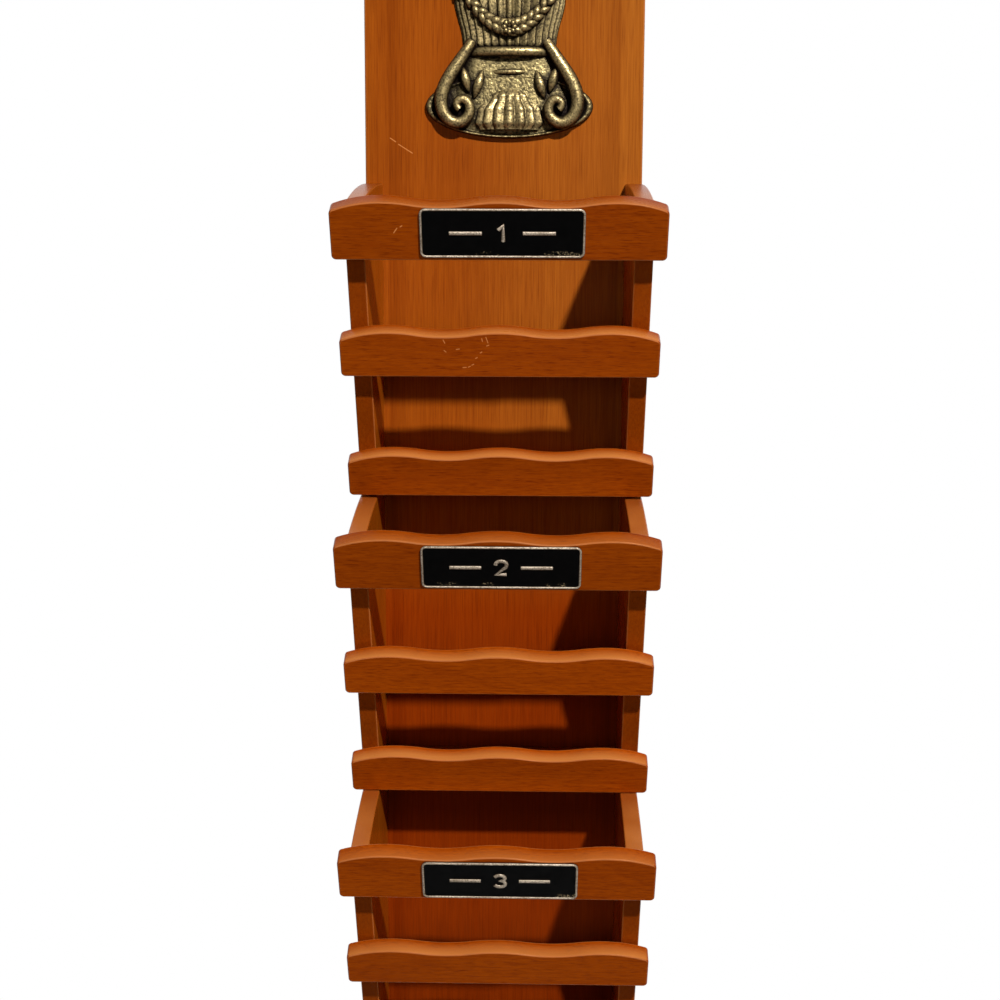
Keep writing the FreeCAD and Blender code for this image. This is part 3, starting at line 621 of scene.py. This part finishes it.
# the web: a low sheet of metal between the legs, from the mound up to the bowl, given by level and half width
web_shares = ((0.30, 0.84), (0.60, 0.72), (0.86, 0.58), (1.08, 0.48))
web_out_share = 0.085
web_edge_power = 8
web_steps = 24
rows = []
for step in range(web_steps + 1):
    level = web_shares[0][0] + (web_shares[-1][0] - web_shares[0][0]) * step / web_steps
    half = eased_between(web_shares, level)
    places = [2 * column / web_steps - 1 for column in range(web_steps + 1)]
    rows.append([(half * place, web_out_share * (1 - place ** web_edge_power), level) for place in places])
rows.append([(across, 0, level) for across, out, level in rows[-1]])
skin(mound, rows, closed=False)
casting_hollow = 7 * mm
hammer_mark = 1.5 * mm
hammer_depth = 0.6 * mm
cast_bare_share = 0.75
ground_brass = aged_brass("antique_brass_ground", "#CAB47A", "#180C06", cast_bare_share, casting_hollow,
                          hammer_mark, hammer_depth)
cast_piece("ornament_mound", mound, ground_brass, "ornament")

relief = bmesh.new()


def turned(half_shares, flat_share, lobes, lobe_shares):
    """The front half of a turned, lobed body, flattened to a relief and closed to the board."""
    levels = 130
    slices = 156
    first, last = half_shares[0][0], half_shares[-1][0]
    rows = []
    for step in range(levels + 1):
        level = first + (last - first) * step / levels
        half = eased_between(half_shares, level)
        depth = eased_between(lobe_shares, level)
        row = []
        for slice_number in range(slices + 1):
            turn = math.pi * (slice_number / slices - 0.5)
            girth = half * (1 - depth * (1 - abs(math.sin(lobes * (turn + math.pi / 2)))))
            row.append((girth * math.sin(turn), flat_share * girth * math.cos(turn), level))
        rows.append([(-half, 0, level)] + row + [(half, 0, level)])
    skin(relief, rows, closed=False)


# lobed foot with a stem and knop, and the reeded urn on it, given by level and half width
foot_shares = ((0.10, 0.40), (0.18, 0.46), (0.32, 0.43), (0.48, 0.30), (0.60, 0.17), (0.66, 0.14),
               (0.71, 0.14), (0.77, 0.21), (0.83, 0.14), (0.88, 0.14), (0.98, 0.26))
foot_flat_share = 0.46
foot_lobes = 9
foot_lobe_shares = ((0.10, 0.14), (0.40, 0.14), (0.58, 0), (1, 0))
turned(foot_shares, foot_flat_share, foot_lobes, foot_lobe_shares)
urn_shares = ((0.935, 0.30), (1.00, 0.44), (1.10, 0.56), (1.62, 0.663), (1.90, 0.54), (2.07, 0.36),
              (2.14, 0.36), (2.21, 0.48), (2.29, 0.48), (2.31, 0.40), (2.42, 0.30), (2.47, 0.09),
              (2.50, 0.09), (2.57, 0.13), (2.63, 0.09), (2.652, 0.01))
urn_flat_share = 0.30
urn_lobes = 17
urn_lobe_shares = ((0.935, 0), (1.06, 0.18), (1.62, 0.18), (1.97, 0.08), (2.07, 0), (3, 0))
turned(urn_shares, urn_flat_share, urn_lobes, urn_lobe_shares)


def add_bar(points, radii, smooth=False):
    """A round bar of the casting, in shares of its half width."""
    spots = [foot + unit * Vector((x, -out, z)) for x, out, z in points]
    relief.from_mesh(bar_mesh(spots, [unit * radius for radius in radii], smooth=smooth))


# scroll legs: from under the urn out and down to volutes on the mound, given across, out, up and by radius
leg_shares = (
    (0.44, 0.13, 1.12, 0.060), (0.53, 0.14, 0.98, 0.070), (0.66, 0.15, 0.80, 0.080),
    (0.78, 0.15, 0.60, 0.086), (0.83, 0.15, 0.40, 0.084), (0.75, 0.15, 0.21, 0.078),
    (0.58, 0.15, 0.15, 0.074), (0.45, 0.15, 0.28, 0.068), (0.48, 0.16, 0.43, 0.060),
    (0.59, 0.17, 0.47, 0.054), (0.65, 0.17, 0.38, 0.050), (0.59, 0.17, 0.33, 0.050),
)
leg_radii = [radius for _, _, _, radius in leg_shares]
for side in (-1, 1):
    add_bar([(side * x, out, z) for x, out, z, _ in leg_shares], leg_radii, smooth=True)

# mouldings around the knop, bowl, neck and lip, given by level, half width, depth and radius
hoop_steps = 40
bowl_flat_share = 0.34
hoop_shares = (
    (0.77, 0.22, foot_flat_share, 0.030),
    (1.00, 0.46, bowl_flat_share, 0.060),
    (2.10, 0.36, urn_flat_share, 0.035),
    (2.29, 0.48, urn_flat_share, 0.041),
)
for level, half, flat, radius in hoop_shares:
    turns = [math.pi * (step / hoop_steps - 0.5) for step in range(hoop_steps + 1)]
    hoop = [(half * math.sin(turn), flat * half * math.cos(turn), level) for turn in turns]
    add_bar(hoop, [radius] * len(hoop))


def add_bud(place, length, width, thick, tilt):
    """One laurel leaf, petal or bead: a slim pointed bud lying on the casting, tilted in its plane."""
    around = 12
    along = 10
    root_share = 0.35
    bud_power = 0.8
    rows = []
    for step in range(along + 1):
        share = step / along
        girth = math.sin(math.pi * share) ** bud_power
        row = []
        for spot in range(around):
            turn = math.tau * spot / around
            across = width / 2 * girth * math.cos(turn)
            rise = thick * girth * (root_share + (1 - root_share) * math.sin(turn))
            run = length * (share - 0.5)
            row.append((place[0] + run * math.cos(tilt) - across * math.sin(tilt), place[1] + rise,
                        place[2] + run * math.sin(tilt) + across * math.cos(tilt)))
        rows.append(row)
    skin(relief, rows, closed=True)


# laurel swag between two rosettes, over the bowl
swag_half_share, swag_end_share, swag_drop_share = (0.56, 1.72, 0.45)
leaf_length_share, leaf_width_share, leaf_thick_share = (0.24, 0.115, 0.075)
leaf_gap_share = 0.045
leaf_taper_share = 0.3
leaf_spread = math.radians(26)
stations = 14
for station in range(stations + 1):
    along = 2 * station / stations - 1
    x = swag_half_share * along
    z = swag_end_share - swag_drop_share * (1 - along * along)
    slope = math.atan2(2 * swag_drop_share * along, swag_half_share)
    out = urn_flat_share * math.sqrt(max(0, eased_between(urn_shares, z) ** 2 - x * x))
    size = 1 - leaf_taper_share * abs(along)
    for lay in (-1, 1):
        tilt = slope + lay * leaf_spread + (math.pi if along > 0 else 0)
        leaf = (leaf_length_share * size, leaf_width_share * size, leaf_thick_share * size)
        add_bud((x, out, z + lay * leaf_gap_share * size), *leaf, tilt)
petals = 8
petal_shares = (0.10, 0.065, 0.05)
rosette_share = 0.06
end_out_share, middle_out_share = (0.12, 0.22)
for side in (-1, 0, 1):
    z = swag_end_share - (0 if side else swag_drop_share)
    out = end_out_share if side else middle_out_share
    for petal in range(petals):
        turn = math.tau * petal / petals
        x = side * swag_half_share + rosette_share * math.cos(turn)
        add_bud((x, out, z + rosette_share * math.sin(turn)), *petal_shares, turn)

# two leaves curling up over the web from each volute, given across, out, up and by length
leg_leaf_shares = ((0.37, 0.10, 0.62, 0.36), (0.52, 0.10, 0.68, 0.34))
leg_leaf_tilts = (math.radians(108), math.radians(74))
for side in (-1, 1):
    for (x, out, z, length), tilt in zip(leg_leaf_shares, leg_leaf_tilts):
        lie = tilt if side > 0 else math.pi - tilt
        add_bud((side * x, out, z), length, leaf_width_share, leaf_thick_share, lie)
cast_pit = 1.1 * mm
cast_pit_depth = 0.2 * mm
relief_brass = aged_brass("antique_brass_relief", "#CFB67C", "#1C0E07", cast_bare_share, casting_hollow,
                          cast_pit, cast_pit_depth)
cast_piece("ornament_relief", relief, relief_brass)


# Hanger and screws: a stamped keyhole plate let into the back, and countersunk wood screws.
# Zinc-plated steel, dull silver with a faint crystalline mottle.
# The hanger's own screws hold it; the others hold the boards and the casting.
zinc, shader = new_material("zinc_plated_steel")
spangle_size = 1.6 * mm
place = add(zinc, "ShaderNodeTexCoord").outputs["Object"]
spangle = {"Vector": place, "Scale": 1 / spangle_size}
spangle = add(zinc, "ShaderNodeTexVoronoi", spangle).outputs["Distance"]
colour = {0: spangle, 6: linear("#C2C3C2"), 7: linear("#9FA1A3")}
colour = add(zinc, "ShaderNodeMix", colour, data_type="RGBA").outputs[2]
zinc.node_tree.links.new(colour, shader.inputs["Base Color"])
rough = {"Value": spangle, "To Min": 0.3, "To Max": 0.46}
rough = add(zinc, "ShaderNodeMapRange", rough).outputs["Result"]
zinc.node_tree.links.new(rough, shader.inputs["Roughness"])
shader.inputs["Metallic"].default_value = 1
for node in ("hanger_plate", "hanger_screws", "left_side_screws", "right_side_screws", "floor_screws",
             "ornament_screws"):
    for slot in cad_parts[node].material_slots:
        slot.material = zinc


# Floor: a plain pale studio floor, far below the rack and reaching back from the plane of its back.
# Painted board, white in the picture but for the rack's shadow.
# It only stands in for a room and isn't part of the object.
floor_drop = 2.3
floor_half = 1.6
floor_glow = 0.72
bm = bmesh.new()
bmesh.ops.create_grid(bm, x_segments=1, y_segments=1, size=floor_half)
ground = mesh_of("studio_floor", bm, smooth=False)
floor = bpy.data.objects.new("studio_floor", ground)
floor.location = (0, floor_half, -floor_drop)
floor.visible_diffuse = False
bpy.context.scene.collection.objects.link(floor)
paint, shader = new_material("pale_floor_paint")
shader.inputs["Base Color"].default_value = linear("#F2F2F2")
shader.inputs["Roughness"].default_value = 0.9
rays = add(paint, "ShaderNodeLightPath").outputs
seen = rays["Is Camera Ray"]
for ray in ("Is Glossy Ray", "Is Transmission Ray"):
    seen = add(paint, "ShaderNodeMath", {0: seen, 1: rays[ray]}, operation="MAXIMUM").outputs[0]
glow = add(paint, "ShaderNodeMath", {0: seen, 1: floor_glow}, operation="MULTIPLY").outputs[0]
paint.node_tree.links.new(glow, shader.inputs["Emission Strength"])
shader.inputs["Emission Color"].default_value = linear("#FFFFFF")
ground.materials.append(paint)


# Light: a small hard lamp high on the right in front, and soft weak ones from the front, below and behind.
# The room is white where the camera looks at it and behind the rack, and dim in front of it.
studio = bpy.data.worlds.new("studio")
bpy.context.scene.world = studio
studio.use_nodes = True
background = studio.node_tree.nodes["Background"]
rays = add(studio, "ShaderNodeLightPath").outputs
seen = {0: rays["Is Camera Ray"], 1: rays["Is Transmission Ray"]}
seen = add(studio, "ShaderNodeMath", seen, operation="MAXIMUM").outputs[0]
toward = add(studio, "ShaderNodeTexCoord").outputs["Generated"]
toward = add(studio, "ShaderNodeSeparateXYZ", {"Vector": toward}).outputs["Y"]
dim_front = 0.06
white_back = {"Value": toward, "From Min": 0.4, "From Max": 0.95, "To Min": dim_front, "To Max": 1}
white_back = add(studio, "ShaderNodeMapRange", white_back).outputs["Result"]
room = 0.03
mirrored = {0: rays["Is Glossy Ray"], 2: room, 3: white_back}
mirrored = add(studio, "ShaderNodeMix", mirrored, data_type="FLOAT").outputs[0]
strength = {0: seen, 2: mirrored, 3: 1}
strength = add(studio, "ShaderNodeMix", strength, data_type="FLOAT").outputs[0]
studio.node_tree.links.new(strength, background.inputs["Strength"])
background.inputs["Color"].default_value = linear("#FFFFFF")
lit_middle = Vector((0, -0.06, -0.33))
key_radius = 0.045
fill_width = 0.25
rear_spread = math.radians(30)
# name, kind, place, power and the settings of its kind
lamps = (
    ("key", "POINT", (0.73, -1.90, 1.16), 264, {"shadow_soft_size": key_radius}),
    ("front_fill", "AREA", (0, -1.05, -0.12), 0.7, {"size": fill_width}),
    ("low_fill", "AREA", (0, -0.85, -1.15), 1.9, {"size": fill_width}),
    ("rear_left", "SUN", (-0.8, 1, 0.35), 1.2, {"angle": rear_spread}),
    ("rear_right", "SUN", (0.8, 1, 0.35), 1.2, {"angle": rear_spread}),
)
for name, kind, place, power, settings in lamps:
    light = bpy.data.lights.new(name, kind)
    light.energy = power
    for setting, value in settings.items():
        setattr(light, setting, value)
    lamp = bpy.data.objects.new(name, light)
    lamp.location = place
    lamp.rotation_euler = (lamp.location - lit_middle).to_track_quat("Z", "Y").to_euler()
    lamp.visible_camera = False
    lamp.visible_glossy = kind == "POINT"
    bpy.context.scene.collection.objects.link(lamp)


# Camera: in front, a little to the right and level with the first tier, looking slightly down.
# A lens of moderate length, a bit under a metre from the rack.
camera_place = Vector((18.25, -916.5, -167.4)) * mm
camera_yaw = math.radians(1.35)
camera_pitch = math.radians(9.13)
camera_roll = math.radians(0.2)
lens = bpy.data.cameras.new("camera")
lens.sensor_width = 36
lens.lens = 57.6
lens.shift_x = 0.003
camera = bpy.data.objects.new("camera", lens)
aim = Matrix.Rotation(camera_yaw, 4, "Z") @ Matrix.Rotation(math.radians(90) - camera_pitch, 4, "X")
camera.matrix_world = Matrix.Translation(camera_place) @ aim @ Matrix.Rotation(camera_roll, 4, "Z")
bpy.context.scene.collection.objects.link(camera)
bpy.context.scene.camera = camera
bpy.context.scene.view_settings.view_transform = "Standard"
